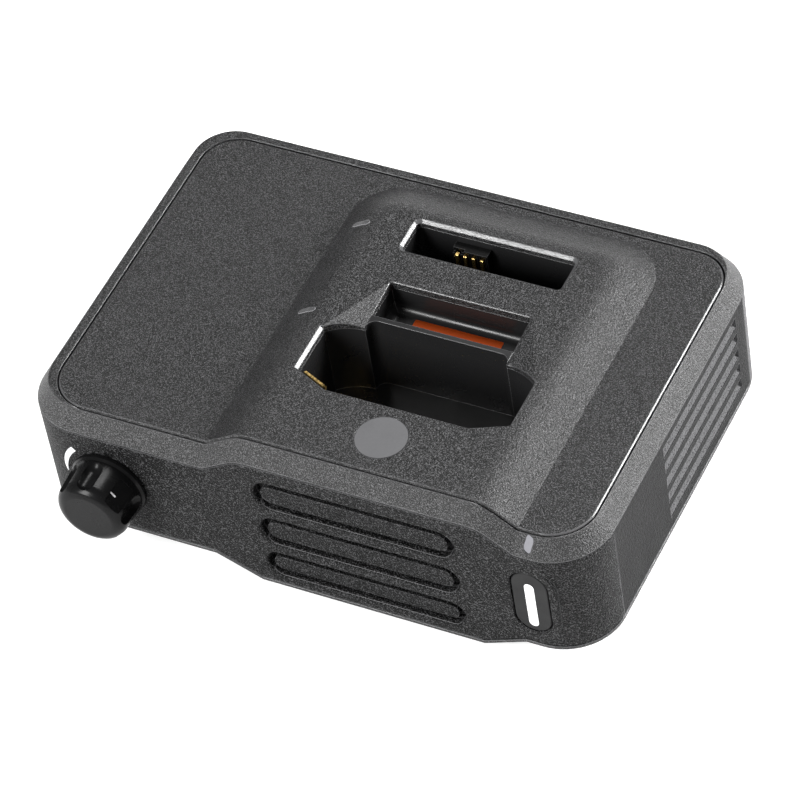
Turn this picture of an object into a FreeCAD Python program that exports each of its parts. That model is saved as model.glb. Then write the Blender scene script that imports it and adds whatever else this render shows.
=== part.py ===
import FreeCAD, Part
import math
import os
from FreeCAD import Vector

# Desktop charging dock for a portable radio: a low, wide case with a raised plateau that holds the
# radio pocket, the belt-clip trough and the spare-battery slot. A loudspeaker sits behind three
# long slots in the front, with a volume knob at the left and a lit push button at the right.
#
# Everything is modelled in case coordinates, in millimetres: x = 0 in the middle of the case, the
# front wall at y = FRONT, the rear at +y, and z = 0 on the underside of the base. save() moves each
# node into the part's own frame: the origin is the middle of the whole box, knob included, on the
# surface that the feet stand on.

# ---- case ---------------------------------------------------------------------------------------
SIDE = 95.0                # half the width
FRONT, REAR = -66.5, 64.8
FRONT_CORNER_R = 18.5
REAR_CORNER_R = 17.3
WALL = 2.6                 # thickness of the mouldings
WING_Z = 6.6               # underside of the wings, beside the pedestal
PARTING_Z = 46.2           # underside of the bevel
DECK_Z = 53.3              # flat deck beside the plateau
RISE = 7.5                 # height of the plateau above the deck
PLATEAU_Z = DECK_Z + RISE
BEVEL_IN = 4.5             # how far the bevel runs inwards
BASE_RIM = 1.1             # edge of the base that shows under the walls
SEAM, SEAM_DEEP = 0.45, 0.6    # shadow lines along the mouldings' upper and lower edges
JOINT = 0.2                # finer line between the fascia and the rear housing
FASCIA_REAR = FRONT + 18.3 # the fascia wraps round the front corners to here
FOOT_STAND = 1.2           # clearance under the pedestal
FAR = 150.0                # well outside the case

# The top panel is set in a groove. The groove follows the bevel's upper edge at the front and the
# right, and leaves a flat land outside it at the left and the rear.
PANEL_BOX = (-87.1, SIDE - BEVEL_IN, FRONT + BEVEL_IN, 57.4)    # middle of the groove
PANEL_FRONT_R, PANEL_REAR_R = 14.0, 12.0
PANEL_GAP = 0.5
PANEL_CHAMFER = 0.4
LEDGE, LEDGE_IN = 2.0, 4.0 # the ledge that carries the panel

# Raised plateau and, turned over, the pedestal: left, right, rear and rear corner radius
PLATEAU_ROOT = (-31.3, 71.0, 54.3, 17.0)
PLATEAU_TOP = (-19.5, 60.0, 40.0, 6.0)
PLATEAU_SOFT_R = 13.0
PEDESTAL_ROOT = (-33.0, 71.0, 54.3, 17.0)
PEDESTAL_FOOT = (-18.0, 56.5, 40.0, 8.0)

# ---- pockets in the plateau ---------------------------------------------------------------------
FEATURE_X = 21.0           # their common centre line
WELL_HALF_W = 35.1
WELL_FRONT = -36.8
WELL_CHAMFER_X, WELL_CHAMFER_Y = 11.5, 5.0
WELL_SIDE_END = -13.7      # the straight sides end here and curve in to the notch
WELL_NOTCH = -9.2
WELL_REAR = -5.7
WELL_FLOOR_Z = 32.0
WELL_CORNER_R = 3.4
TROUGH_HALF_W = 23.5
TROUGH_FRONT = -4.0
TROUGH_REAR = 9.6
TROUGH_FLOOR_Z = 49.8
TROUGH_COVE_R = 3.0
PARTITION_Z = PLATEAU_Z - 1.1
SCOOP_DROP = 1.5
RIM_CHAMFER = 0.35
LEFT_CHAMFER = 1.0         # along the left side of the well
SLOT_CHAMFER = 1.1
SLOT_X0, SLOT_X1, SLOT_Y0, SLOT_Y1 = -5.5, 47.6, 23.3, 35.8
SLOT_R = 1.5
SLOT_FLOOR_Z = 30.0
LINER = 1.8                # wall of the two pocket liners

# ---- front --------------------------------------------------------------------------------------
GRILLE_X0, GRILLE_X1 = -14.9, 51.1
GRILLE_SLOTS = ((35.75, 46.8), (19.65, 30.7), (5.25, 14.8))
GRILLE_RIM_R = 1.2
GRILLE_GAP = 2.0           # open ring between each slot and its island
GRILLE_RECESS = 0.65
SPEAKER_X, SPEAKER_Z = 18.1, 25.6
SPEAKER_SCREWS = [(SPEAKER_X + dx, SPEAKER_Z + dz) for dx in (-32.5, 32.5) for dz in (-8.0, 8.0)]
KNOB_X, KNOB_Z = -65.9, 27.1
KNOB_R = 12.0
KNOB_REACH = 15.0
KNOB_FLUTES = 8            # places round the knob; the pointer's flat takes the first of them
POINTER_DEG = 48.0         # pointer at rest, above +x as seen from the front
POINTER_FLAT_DEG, POINTER_LEAN = 37.0, 7.0
FLUTE_R, FLUTE_AT = 3.4, 13.3
FLUTE_ENDS = (6.2, 11.2)   # centres of its round ends, from the wall
SHAFT_R = 3.0
BUTTON_X, BUTTON_Z = 74.4, 26.1
BUTTON_W, BUTTON_H = 11.7, 25.7
BUTTON_GAP = 0.35
BUTTON_BOSS = 3.0          # flat ring round the button
BUTTON_DEEP = 6.0
BUTTON_BOX = (BUTTON_X - BUTTON_W / 2, BUTTON_X + BUTTON_W / 2,
              BUTTON_Z - BUTTON_H / 2, BUTTON_Z + BUTTON_H / 2)
BOSS_DEEP = 3.8
BUTTON_BOARD_Y = FRONT + 11.0
BUTTON_BOARD_POST_X, BUTTON_BOARD_POSTS_Z = 61.5, (16.0, 36.0)
BAR_W, BAR_H, BAR_DROP = 3.1, 18.9, 1.3
STATUS_X, STATUS_W, STATUS_TURN = 75.3, 2.4, -17.0
CHARGE_LENS_X, CHARGE_LENS_Y = -22.9, (-7.7, 30.8)
BADGE_X, BADGE_Y, BADGE_R = 22.0, -48.7, 8.0

# ---- sides, rear and inside ---------------------------------------------------------------------
VENT_Y0, VENT_Y1 = -12.0, 43.6
VENT_Z, VENT_PITCH, VENT_H, VENT_COUNT = 12.1, 6.7, 4.5, 5
VENT_DEEP = 3.2
JACK_X, JACK_Z = -40.0, 22.0
BOARD_Z, BOARD_T = 15.0, 1.6
POST_X, POST_Y = 82.0, (-28.0, 37.0)
FOOT_X, FOOT_Y = 82.0, (-46.0, 52.0)
WALL_SCREWS = ((-80.5, -58.5), (80.5, -58.5), (-60.0, 57.3), (60.0, 57.3))
BOARD_SCREWS = ((-68.0, -27.0), (68.0, -27.0), (-68.0, 54.0), (68.0, 54.0))
JACK_R = 5.0
MODULAR_BOX = (12.0, 28.0, 17.5, 31.0)     # socket in the rear wall: left, right, bottom, top
LABEL_BOX = (-6.0, 44.0, -20.0, 14.0)       # on the underside of the pedestal
CUP_Z, CUP_FLOOR = 36.0, 2.0
CASE_SCREW_HEAD_Z = 14.0
LED_Z = BOARD_Z + BOARD_T + 0.8
BADGE_DEEP = 0.8
CONTACT_BLOCK_DEEP = 3.5
CONTACT_X0, CONTACT_X1, CONTACT_Z = 7.0, 18.8, 55.8
CONTACT_COUNT, CONTACT_PITCH = 4, 2.8
PIN_COUNT, PIN_PITCH = 6, 3.6
CARRIER, CLOTH, GASKET, FLANGE = 1.6, 0.4, 0.8, 1.2   # layers behind the front wall

FRAME_SHIFT = Vector(0, (KNOB_REACH - FRONT - REAR) / 2, FOOT_STAND)


# ---- helpers ------------------------------------------------------------------------------------
def save(name, *shapes):
    """Write one node, moved from case coordinates into the part's frame."""
    solids = [solid for shape in shapes for solid in shape.Solids]
    node = Part.makeCompound(solids) if len(solids) > 1 else solids[0]
    node.translate(FRAME_SHIFT)
    node.exportStep("parts/%s.step" % name)


def box(x0, x1, y0, y1, z0, z1):
    return Part.makeBox(x1 - x0, y1 - y0, z1 - z0, Vector(x0, y0, z0))


def rod(centre, radius, length, direction=(0, 0, 1)):
    return Part.makeCylinder(radius, length, Vector(*centre), Vector(*direction))


def tube(centre, outer, inner, length, direction=(0, 0, 1)):
    return rod(centre, outer, length, direction).cut(rod(centre, inner, length, direction))


def rounded(x0, x1, y0, y1, z, front_r, rear_r):
    """Closed outline of a rectangle with rounded corners, at height z."""
    corners = ((x1, y0, front_r, 1, -1), (x1, y1, rear_r, 1, 1),
               (x0, y1, rear_r, -1, 1), (x0, y0, front_r, -1, -1))
    edges = []
    last = Vector(x0 + front_r, y0, z)
    for index, (x, y, r, sx, sy) in enumerate(corners):
        before, after = Vector(x - sx * r, y, z), Vector(x, y - sy * r, z)
        start, end = (before, after) if index % 2 == 0 else (after, before)
        if (start - last).Length > 1e-6:
            edges.append(Part.LineSegment(last, start).toShape())
        if r > 0:
            k = r * (1 - math.sqrt(0.5))
            middle = Vector(x - sx * k, y - sy * k, z)
            edges.append(Part.Arc(start, middle, end).toShape())
        last = end
    return Part.Wire(edges)


def slab(wire, height):
    return Part.Face(wire).extrude(Vector(0, 0, height))


def loft(*wires):
    return Part.makeLoft(list(wires), True, True)


def block(x0, x1, y0, y1, z0, z1, r):
    return slab(rounded(x0, x1, y0, y1, z0, r, r), z1 - z0)


def upright(x0, x1, z0, z1, y, depth, r):
    """Plate with rounded corners that stands in the x-z plane, from y backwards."""
    plate = slab(rounded(x0, x1, z0, z1, 0, r, r), -depth)
    plate.rotate(Vector(0, 0, 0), Vector(1, 0, 0), 90)
    plate.translate(Vector(0, y, 0))
    return plate


def pill(x0, x1, z0, z1, y, depth, grow=0.0):
    """The same with fully round ends, grown on every side."""
    half = min(x1 - x0, z1 - z0) / 2 + grow - 0.001
    return upright(x0 - grow, x1 + grow, z0 - grow, z1 + grow, y, depth, half)


def union(*shapes):
    return shapes[0].multiFuse(list(shapes[1:])).removeSplitter()


def soften(shape, radius, chosen):
    return shape.makeFillet(radius, [edge for edge in shape.Edges if chosen(edge)])


# ---- outer form ---------------------------------------------------------------------------------
def plan(z, inset=0.0):
    """Outline of the case at height z, moved in by inset."""
    return rounded(-SIDE + inset, SIDE - inset, FRONT + inset, REAR - inset, z,
                   FRONT_CORNER_R - inset, REAR_CORNER_R - inset)


def panel_plan(z, grow=0.0):
    """Outline of the top panel's groove at height z, grown on every side."""
    x0, x1, y0, y1 = PANEL_BOX
    return rounded(x0 - grow, x1 + grow, y0 - grow, y1 + grow, z,
                   PANEL_FRONT_R + grow, PANEL_REAR_R + grow)


def bent_line(points, radii):
    """Edges through a chain of points, each inner one rounded off by its radius."""
    edges, last = [], points[0]
    for before, corner, after, radius in zip(points, points[1:], points[2:], radii):
        start = end = corner
        if radius:
            a, b = (before - corner).normalize(), (after - corner).normalize()
            half = a.getAngle(b) / 2
            start, end = corner + a * (radius / math.tan(half)), corner + b * (radius / math.tan(half))
            middle = corner + (a + b).normalize() * (radius / math.sin(half) - radius)
        edges.append(Part.LineSegment(last, start).toShape())
        if radius:
            edges.append(Part.Arc(start, middle, end).toShape())
        last = end
    return edges + [Part.LineSegment(last, points[-1]).toShape()]


def ridge(y, z0, z1, reach, root, top, rise, bend):
    """Bar along x from z0 to z1, lifted where it crosses the plateau or the pedestal, drawn in the
    plane y and swept along reach."""
    stations = ((-FAR, 0), (root[0], 0), (top[0], rise), (top[1], rise), (root[1], 0), (FAR, 0))
    low, high = [[Vector(x, y, z + h) for x, h in stations] for z in (z0, z1)]
    radii = (0, bend, bend, 0)
    outline = bent_line(low, radii) + [Part.LineSegment(low[-1], high[-1]).toShape()]
    outline += bent_line(high, radii)[::-1] + [Part.LineSegment(high[0], low[0]).toShape()]
    return Part.Face(Part.Wire(outline)).extrude(Vector(*reach))


def over(y0, y1, z0, z1):
    return ridge(y0, z0, z1, (0, y1 - y0, 0), PLATEAU_ROOT, PLATEAU_TOP, RISE, PLATEAU_SOFT_R)


def under(y0, y1, z0, z1):
    return ridge(y0, z0, z1, (0, y1 - y0, 0), PEDESTAL_ROOT, PEDESTAL_FOOT, -WING_Z, 0)


def behind_bevel(inset):
    """Everything behind the front wall and the bevel, which runs on well above the plateau."""
    y0, deep, high = FRONT + inset, 4 * BEVEL_IN, 4 * (DECK_Z - PARTING_Z)
    slope = ridge(y0, -FAR, PARTING_Z, (0, deep, high), PLATEAU_ROOT, PLATEAU_TOP, RISE,
                  PLATEAU_SOFT_R)
    return slope.fuse(over(y0 + deep, FAR, -FAR, PARTING_Z + high))


def raised(root, top, z_root, z_top):
    """Tapered block with rounded rear corners, flush with the front wall."""
    outlines = [rounded(left, right, FRONT, rear, z, 0, r)
                for (left, right, rear, r), z in ((root, z_root), (top, z_top))]
    return loft(*outlines)


def plateau(inset=0.0, drop=0.0):
    z_root, z_top = DECK_Z - drop, PLATEAU_Z - drop
    form = soften(raised(PLATEAU_ROOT, PLATEAU_TOP, z_root, z_top), PLATEAU_SOFT_R,
                  lambda edge: edge.BoundBox.ZMin > z_top - 0.01
                  and edge.BoundBox.YMax > FRONT + 1)
    left, right, rear, r = PLATEAU_ROOT
    skirt = slab(rounded(left, right, FRONT, rear, z_root, 0, r), PARTING_Z - 3 - z_root)
    return form.fuse(skirt).common(behind_bevel(inset))


def solid_case(inset=0.0):
    """The closed outer form, or with an inset the room inside walls of that thickness."""
    walls = slab(plan(WING_Z + inset, inset), PARTING_Z - WING_Z - inset)
    run = BEVEL_IN * (1 - inset / (DECK_Z - PARTING_Z))
    bevel = loft(plan(PARTING_Z, inset), plan(DECK_Z - inset, inset + run))
    pedestal = raised(PEDESTAL_ROOT, PEDESTAL_FOOT, WING_Z + inset, inset)
    pedestal = pedestal.common(slab(plan(0, inset), FAR))
    return union(walls, bevel, pedestal, plateau(inset, inset))


# ---- mouldings of the case ----------------------------------------------------------------------
def lid_zone():
    """Everything above the parting surface, which rises with the plateau along the front."""
    behind = box(-FAR, FAR, FRONT + WALL, FAR, PARTING_Z, FAR)
    return behind.fuse(over(-FAR, FRONT + WALL, PARTING_Z, FAR / 2))


def base_zone():
    """The floor inside the walls, and the thin rim that shows under them."""
    floor = slab(plan(0, WALL), WING_Z + 2 * WALL)
    rim = box(-FAR, FAR, FRONT + WALL, FAR, -1, WING_Z + BASE_RIM)
    front_rim = under(-FAR, FRONT + WALL, -WALL, WING_Z + BASE_RIM)
    return union(floor, rim, front_rim)


def seam_ring(z, profile):
    """Shadow line round the case at height z; along the front wall it follows the profile."""
    ring = slab(plan(z, -1), SEAM).cut(slab(plan(z, SEAM_DEEP), SEAM))
    flat = SIDE - FRONT_CORNER_R
    front = profile(FRONT - 1, FRONT + SEAM_DEEP, z, z + SEAM)
    front_zone = box(-flat, flat, FRONT - 1, FRONT + SEAM_DEEP, -1, FAR)
    return ring.cut(front_zone).fuse(front.common(front_zone))


def walls():
    """Front fascia and rear housing, before their own openings are cut."""
    ring = CASE_SHELL.cut(base_zone()).cut(lid_zone())
    front = box(-FAR, FAR, -FAR, FASCIA_REAR, -1, FAR)
    ring = ring.cut(seam_ring(PARTING_Z - SEAM, over).common(front))
    ring = ring.cut(seam_ring(WING_Z + BASE_RIM, under))
    joint = slab(plan(0, -1), FAR).cut(slab(plan(0, SEAM_DEEP / 2), FAR))
    joint = joint.common(box(-FAR, FAR, FASCIA_REAR - JOINT / 2, FASCIA_REAR + JOINT / 2, 0, FAR))
    ring = ring.cut(joint)
    return ring.common(front), ring.cut(front)


def lug(x0, x1, y0, y1, screw_x, screw_y):
    """Shelf on the foot of a wall, with the hole for a screw that comes up through the base."""
    z = WING_Z + WALL
    shelf = box(x0, x1, y0, y1, z, z + WALL).common(slab(plan(0, WALL - 0.5), FAR))
    return shelf.cut(rod((screw_x, screw_y, z), 1.25, WALL))


def front_fascia(wall):
    for z0, z1 in GRILLE_SLOTS:
        wall = wall.cut(pill(GRILLE_X0, GRILLE_X1, z0, z1, FRONT - 1, WALL + 2))
    on_face = lambda edge: abs(edge.BoundBox.YMax - FRONT) < 0.001 \
        and abs(edge.BoundBox.YMin - FRONT) < 0.001
    in_slots = lambda edge: GRILLE_X0 - 1 < edge.BoundBox.XMin \
        and edge.BoundBox.XMax < GRILLE_X1 + 1 and 5 < edge.BoundBox.ZMin \
        and edge.BoundBox.ZMax < GRILLE_SLOTS[0][1] + 1
    wall = soften(wall, GRILLE_RIM_R, lambda edge: on_face(edge) and in_slots(edge))

    x0, x1, z0, z1 = BUTTON_BOX
    boss = pill(x0, x1, z0, z1, FRONT, BOSS_DEEP, BUTTON_BOSS)
    boss = soften(boss, 0.7, on_face)
    wall = wall.fuse(boss)
    for z in BUTTON_BOARD_POSTS_Z:
        wall = wall.fuse(rod((BUTTON_BOARD_POST_X, FRONT + WALL - 0.5, z), 2.6,
                             BUTTON_BOARD_Y - FRONT - WALL + 0.5, (0, 1, 0)))
        wall = wall.cut(rod((BUTTON_BOARD_POST_X, FRONT + WALL, z), 1.0, FAR / 10, (0, 1, 0)))
    wall = wall.cut(pill(x0, x1, z0, z1, FRONT - 1, BOSS_DEEP + 2, BUTTON_GAP))
    wall = soften(wall, 0.45, lambda edge: on_face(edge)
                  and edge.BoundBox.XMin > x0 - 1 and edge.BoundBox.XMax < x1 + 1)
    wall = wall.cut(rod((KNOB_X, FRONT - 1, KNOB_Z), 3.6, WALL + 2, (0, 1, 0)))
    wall = wall.cut(volume_mark())
    for x, z in SPEAKER_SCREWS:
        wall = wall.cut(rod((x, FRONT + 1.0, z), 1.1, WALL, (0, 1, 0)))
    for x, y in WALL_SCREWS[:2]:
        wall = wall.fuse(lug(x - 6.5, x + 6.5, FRONT + WALL - 0.5, y + 5, x, y))
    save("front_fascia", wall.removeSplitter())


def volume_mark():
    """Tapering crescent beside the knob, let into the wall, that thickens towards loud."""
    radius, thick, sweep, start = 14.6, 1.9, 46.0, 134.0
    def at(degrees, r):
        a = math.radians(degrees)
        return Vector(KNOB_X + r * math.cos(a), FRONT, KNOB_Z + r * math.sin(a))
    outer = Part.Arc(at(start, radius + thick), at(start + sweep / 2, radius + thick * 0.8),
                     at(start + sweep, radius + 0.15)).toShape()
    inner = Part.Arc(at(start + sweep, radius), at(start + sweep / 2, radius),
                     at(start, radius)).toShape()
    ends = [Part.LineSegment(at(start, radius), at(start, radius + thick)).toShape(),
            Part.LineSegment(at(start + sweep, radius + 0.15), at(start + sweep, radius)).toShape()]
    return Part.Face(Part.Wire([ends[0], outer, ends[1], inner])).extrude(Vector(0, 0.4, 0))


def rear_housing(wall):
    """Side and rear walls in one piece, with louvred vents in both sides."""
    for k in range(VENT_COUNT):
        z = VENT_Z + k * VENT_PITCH
        for side in (-1, 1):
            corners = [Vector(side * (SIDE + 0.01), VENT_Y0, z),
                       Vector(side * (SIDE + 0.01), VENT_Y0, z + VENT_H),
                       Vector(side * (SIDE - VENT_DEEP), VENT_Y0, z + VENT_H)]
            louvre = Part.Face(Part.makePolygon(corners + corners[:1]))
            wall = wall.cut(louvre.extrude(Vector(0, VENT_Y1 - VENT_Y0, 0)))
    wall = wall.cut(rod((JACK_X, REAR - WALL - 1, JACK_Z), JACK_R + 0.1, WALL + 2, (0, 1, 0)))
    x0, x1, z0, z1 = MODULAR_BOX
    wall = wall.cut(box(x0 - 0.1, x1 + 0.1, REAR - WALL - 1, REAR + 1, z0 - 0.1, z1 + 0.1))
    for x, y in WALL_SCREWS[2:]:
        wall = wall.fuse(lug(x - 4.5, x + 4.5, y - 4, REAR - WALL + 0.5, x, y))
    save("rear_housing", wall.removeSplitter())


def upper_housing(panel):
    """The bevelled frame, with the ledge that carries the top panel and four screw cups."""
    ring = CASE_SHELL.common(lid_zone())
    ring = ring.cut(slab(panel_plan(PARTING_Z - 1, PANEL_GAP / 2), FAR))
    top = DECK_Z - WALL
    ledge = slab(panel_plan(top - LEDGE, 1.4), LEDGE)
    ledge = ledge.cut(slab(panel_plan(top - LEDGE, -LEDGE_IN), LEDGE))
    front_zone = box(PLATEAU_ROOT[0], PLATEAU_ROOT[1], FRONT, FRONT + BEVEL_IN + LEDGE_IN, 0, FAR)
    front_ledge = over(FRONT + BEVEL_IN - 0.8, FRONT + BEVEL_IN + LEDGE_IN, top - LEDGE, top)
    frame = union(ring, ledge.cut(front_zone), front_ledge.common(front_zone))
    for sx in (-1, 1):
        for y in POST_Y:
            x = sx * POST_X
            web = box(*sorted((x + sx * 4.2, x + sx * 8.0)), y - 1.5, y + 1.5, 38.0, top - 0.5)
            cup = tube((x, y, CUP_Z), 5.4, 3.45, top - CUP_Z)
            cup = cup.fuse(tube((x, y, CUP_Z), 5.4, 1.8, CUP_FLOOR))
            frame = frame.fuse(web.cut(rod((x, y, 0), 5.0, FAR))).fuse(cup)
    frame = frame.common(solid_case()).cut(panel)
    save("upper_housing", frame.cut(status_lens()).removeSplitter())


def pocket_outline(z, rear, rear_r, grow=0.0):
    """Outline of the radio well: chamfered front corners, curved rear corners and a deeper
    middle that ends at y = rear. With rear at the back of the trough it takes in both."""
    half, cx, cy = WELL_HALF_W + grow, WELL_CHAMFER_X - 0.6 * grow, WELL_CHAMFER_Y - 0.2 * grow
    front, side_end = WELL_FRONT - grow, WELL_SIDE_END + 0.5 * grow
    inner, notch = TROUGH_HALF_W + grow, WELL_NOTCH + grow
    bulge = Vector(half - 5.4, side_end + 3.3, 0)
    k = rear_r * (1 - math.sqrt(0.5))
    right = [("line", (half - cx, front), (half, front + cy)),
             ("line", (half, front + cy), (half, side_end)),
             ("arc", (half, side_end), (bulge.x, bulge.y), (inner, notch)),
             ("line", (inner, notch), (inner, rear + grow - rear_r)),
             ("arc", (inner, rear + grow - rear_r), (inner - k, rear + grow - k),
              (inner - rear_r, rear + grow))]
    left = [(kind,) + tuple((-x, y) for x, y in reversed(points)) for kind, *points in reversed(right)]
    bridge = [("line", (inner - rear_r, rear + grow), (rear_r - inner, rear + grow))]
    close = [("line", (cx - half, front), (half - cx, front))]
    edges = []
    for kind, *points in right + bridge + left + close:
        places = [Vector(FEATURE_X + x, y, z) for x, y in points]
        edge = Part.Arc(*places) if kind == "arc" else Part.LineSegment(*places)
        edges.append(edge.toShape())
    return Part.Wire(edges)


def slot_outline(z, grow=0.0):
    return rounded(SLOT_X0 - grow, SLOT_X1 + grow, SLOT_Y0 - grow, SLOT_Y1 + grow, z,
                   SLOT_R + grow, SLOT_R + grow)


def scoop(side):
    """Shallow fall of the deck beside the trough, down to the corner of the well."""
    def at(dx, y, z):
        return Vector(FEATURE_X + side * dx, y, z)
    low = [at(WELL_HALF_W, WELL_SIDE_END, PLATEAU_Z), at(TROUGH_HALF_W, TROUGH_REAR, PLATEAU_Z),
           at(TROUGH_HALF_W, WELL_NOTCH, PLATEAU_Z - SCOOP_DROP)]
    return Part.Face(Part.makePolygon(low + low[:1])).extrude(Vector(0, 0, FAR / 10))


def panel_form():
    """Room for the top panel, with a small chamfer round the panel's upper edge."""
    edge = -PANEL_GAP / 2
    z = DECK_Z - PANEL_CHAMFER
    deck = slab(panel_plan(DECK_Z - WALL - 0.5, edge), WALL + 0.5 - PANEL_CHAMFER).fuse(
        loft(panel_plan(z, edge), panel_plan(DECK_Z + 0.1, edge - PANEL_CHAMFER - 0.1)))
    middle = slab(panel_plan(DECK_Z - WALL - 0.5, edge), FAR).common(
        box(PLATEAU_ROOT[0], PLATEAU_ROOT[1], -FAR, PLATEAU_ROOT[2] + 0.5, 0, FAR))
    return deck.fuse(middle).common(behind_bevel(PANEL_GAP / 2 + PANEL_CHAMFER))


def top_panel():
    """The deck and plateau, with the mouths of the pockets and posts for the case screws."""
    panel = CASE_SHELL.common(panel_form())
    for side in (-1, 1):
        panel = panel.cut(scoop(side))
    z = PLATEAU_Z
    panel = panel.cut(slab(pocket_outline(z - 9, TROUGH_REAR, 1.0), 20))
    panel = panel.cut(slab(slot_outline(z - 9), 20))
    panel = panel.cut(loft(pocket_outline(z - RIM_CHAMFER, TROUGH_REAR, 1.0, -0.1),
                           pocket_outline(z + 0.1, TROUGH_REAR, 1.0, RIM_CHAMFER)))
    panel = panel.cut(loft(slot_outline(z - SLOT_CHAMFER, -0.1), slot_outline(z + 0.1, SLOT_CHAMFER)))
    edge_x = FEATURE_X - WELL_HALF_W
    wedge = [Vector(x, WELL_FRONT + WELL_CHAMFER_Y, height) for x, height in
             ((edge_x, z - LEFT_CHAMFER), (edge_x - LEFT_CHAMFER, z), (edge_x, z))]
    wedge_face = Part.Face(Part.makePolygon(wedge + wedge[:1]))
    panel = panel.cut(wedge_face.extrude(Vector(0, WELL_SIDE_END - WELL_FRONT - WELL_CHAMFER_Y, 0)))
    panel = panel.cut(rod((BADGE_X, BADGE_Y, z - BADGE_DEEP), BADGE_R + 0.15, FAR / 10))
    for y in CHARGE_LENS_Y:
        panel = panel.cut(charge_lens_form(y, 0.05, FAR / 10))
    for sx in (-1, 1):
        for y in POST_Y:
            post = rod((sx * POST_X, y, CUP_Z + CUP_FLOOR), 3.2, DECK_Z - WALL - CUP_Z)
            panel = panel.fuse(post.common(box(-FAR, FAR, -FAR, FAR, 0, DECK_Z - 1)))
            panel = panel.cut(rod((sx * POST_X, y, CUP_Z), 1.45, 10))
    panel = panel.removeSplitter()
    save("top_panel", panel.copy())
    return panel


def base_cover():
    """Floor and pedestal, with screw towers, board standoffs and the holes for the feet."""
    base = CASE_SHELL.common(base_zone())
    floor = WING_Z + WALL
    for sx in (-1, 1):
        for y in POST_Y:
            base = base.fuse(rod((sx * POST_X, y, floor - 1), 4.7, CUP_Z - floor + 1))
            base = base.cut(rod((sx * POST_X, y, 0), 1.8, CUP_Z))
            base = base.cut(rod((sx * POST_X, y, 0), 3.2, CASE_SCREW_HEAD_Z))
        for y in FOOT_Y:
            base = base.cut(rod((sx * FOOT_X, y, 0), 2.0, floor))
    for x, y in BOARD_SCREWS:
        base = base.fuse(rod((x, y, floor - 1), 3.2, BOARD_Z - floor + 1))
        base = base.cut(rod((x, y, floor), 1.0, BOARD_Z - floor))
    for x, y in WALL_SCREWS:
        base = base.cut(rod((x, y, 0), 1.4, floor)).cut(rod((x, y, 0), 2.6, WING_Z + 1.2))
    base = base.cut(block(*LABEL_BOX, 0, 0.25, 2))
    save("base_cover", base.removeSplitter())


# ---- lenses, badge and label --------------------------------------------------------------------
def charge_lens_form(y, grow, length):
    """Upright light pipe with a long round-ended head, up through the slope of the plateau."""
    head_w, head_d = 6.2 + 2 * grow, 1.9 + 2 * grow
    x0, y0 = CHARGE_LENS_X - head_w / 2, y - head_d / 2
    return block(x0, x0 + head_w, y0, y0 + head_d, DECK_Z - 2.5, DECK_Z - 2.5 + length,
                 head_d / 2 - 0.001)


def charge_lens(name, y):
    skin = plateau()
    skin.translate(Vector(0, 0, 0.12))
    head = charge_lens_form(y, 0.0, 12).common(skin)
    stem = rod((CHARGE_LENS_X, y, LED_Z + 0.3), 1.5, DECK_Z - 1 - LED_Z)
    stem = stem.common(box(-FAR, FAR, -FAR, FAR, 0, DECK_Z - 2))
    save(name, head.fuse(stem).removeSplitter())


def status_lens():
    """Short bar let into the bevel, turned a little towards the corner."""
    r, y0, y1 = STATUS_W / 2, FRONT + 1.2, FRONT + BEVEL_IN - 0.6
    bar = block(STATUS_X - r, STATUS_X + r, y0, y1, 0, FAR, 0.7)
    bar.rotate(Vector(STATUS_X, (y0 + y1) / 2, 0), Vector(0, 0, 1), STATUS_TURN)
    skin = loft(plan(PARTING_Z, -0.1), plan(DECK_Z, BEVEL_IN - 0.1))
    return bar.common(skin).common(box(-FAR, FAR, -FAR, FAR, PARTING_Z + 0.3, FAR))


def rating_label():
    save("rating_label", block(*LABEL_BOX, 0.05, 0.25, 2))


# ---- pocket liners and their contacts -----------------------------------------------------------
def radio_pocket(panel):
    top = PLATEAU_Z - WALL
    well = block(FEATURE_X - WELL_HALF_W - LINER, FEATURE_X + WELL_HALF_W + LINER,
                 WELL_FRONT - LINER, WELL_NOTCH + LINER + 0.5, WELL_FLOOR_Z - LINER, top, 1.0)
    middle = block(FEATURE_X - TROUGH_HALF_W - LINER, FEATURE_X + TROUGH_HALF_W + LINER,
                   WELL_FRONT, WELL_REAR + LINER, WELL_FLOOR_Z - LINER, top, 1.0)
    trough = block(FEATURE_X - TROUGH_HALF_W - LINER, FEATURE_X + TROUGH_HALF_W + LINER,
                   WELL_REAR, TROUGH_REAR + LINER, TROUGH_FLOOR_Z - LINER, top, 1.0)
    x0, x1 = FEATURE_X - TROUGH_HALF_W, FEATURE_X + TROUGH_HALF_W
    partition = box(x0, x1, WELL_REAR - 3, TROUGH_FRONT, top - 1, PARTITION_Z)
    hollow = box(x0, x1, TROUGH_FRONT, TROUGH_REAR, TROUGH_FLOOR_Z, FAR)
    hollow = soften(hollow, TROUGH_COVE_R, lambda edge: edge.BoundBox.ZMax < TROUGH_FLOOR_Z + 0.01)
    well_hollow = slab(pocket_outline(WELL_FLOOR_Z, WELL_REAR, WELL_CORNER_R), FAR)
    liner = union(well, middle, trough, partition).cut(hollow).cut(well_hollow).cut(panel)
    save("radio_pocket", liner.removeSplitter())


def battery_pocket(panel):
    outer = slab(slot_outline(SLOT_FLOOR_Z - LINER, LINER), PLATEAU_Z - WALL - SLOT_FLOOR_Z + LINER)
    save("battery_pocket", outer.cut(slab(slot_outline(SLOT_FLOOR_Z), FAR)).cut(panel))


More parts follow.
